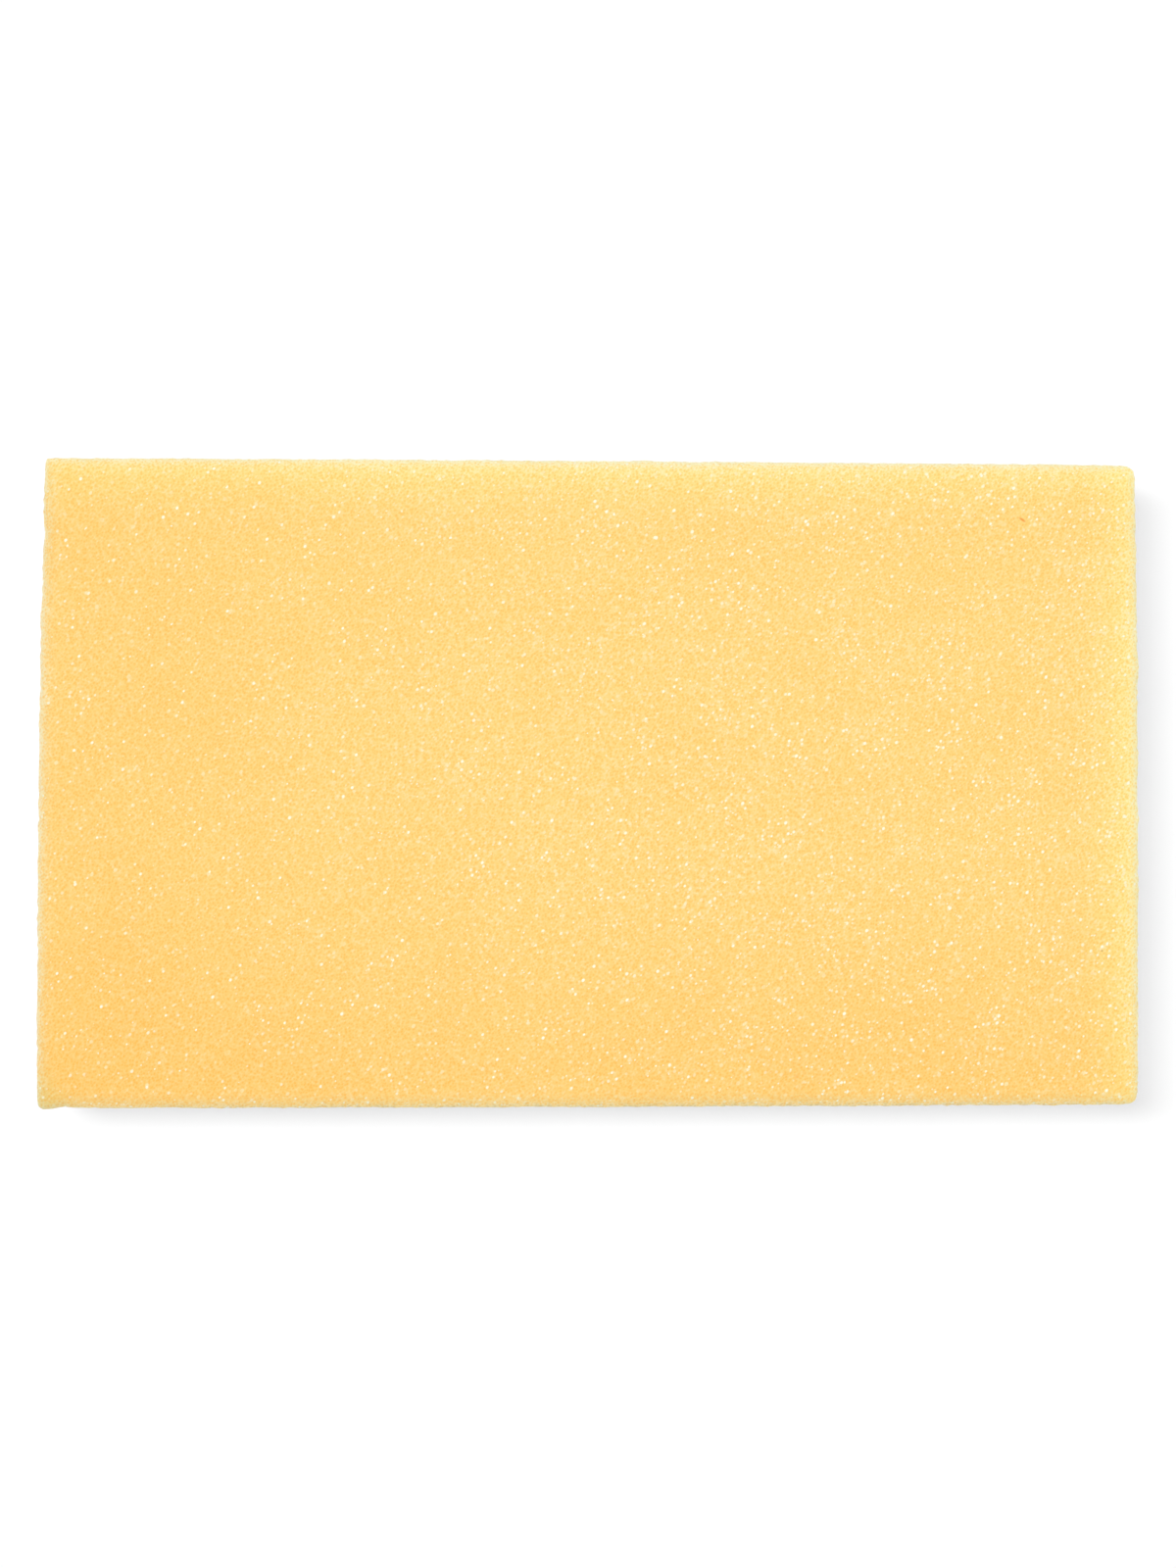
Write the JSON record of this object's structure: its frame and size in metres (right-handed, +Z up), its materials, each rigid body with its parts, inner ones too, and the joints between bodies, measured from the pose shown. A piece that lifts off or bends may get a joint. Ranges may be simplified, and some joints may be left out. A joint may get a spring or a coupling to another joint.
{
  "type": "cleaning sponge",
  "caption": "Flat rectangular block of fine-celled yellow foam with eased rims, slightly out of square.",
  "frame": {"origin": "centre of the plan box, on the flat base that the block lies on", "axes": "+X along the length to the right end in the picture, +Y along the width to the picture's upper edge, +Z up out of the big face that the picture shows"},
  "size_m": [0.1202, 0.071, 0.03],
  "materials": {
    "foam": "matte, open-celled"
  },
  "bodies": {
    "root": {"foam_block": "foam"}
  },
  "joints": []
}
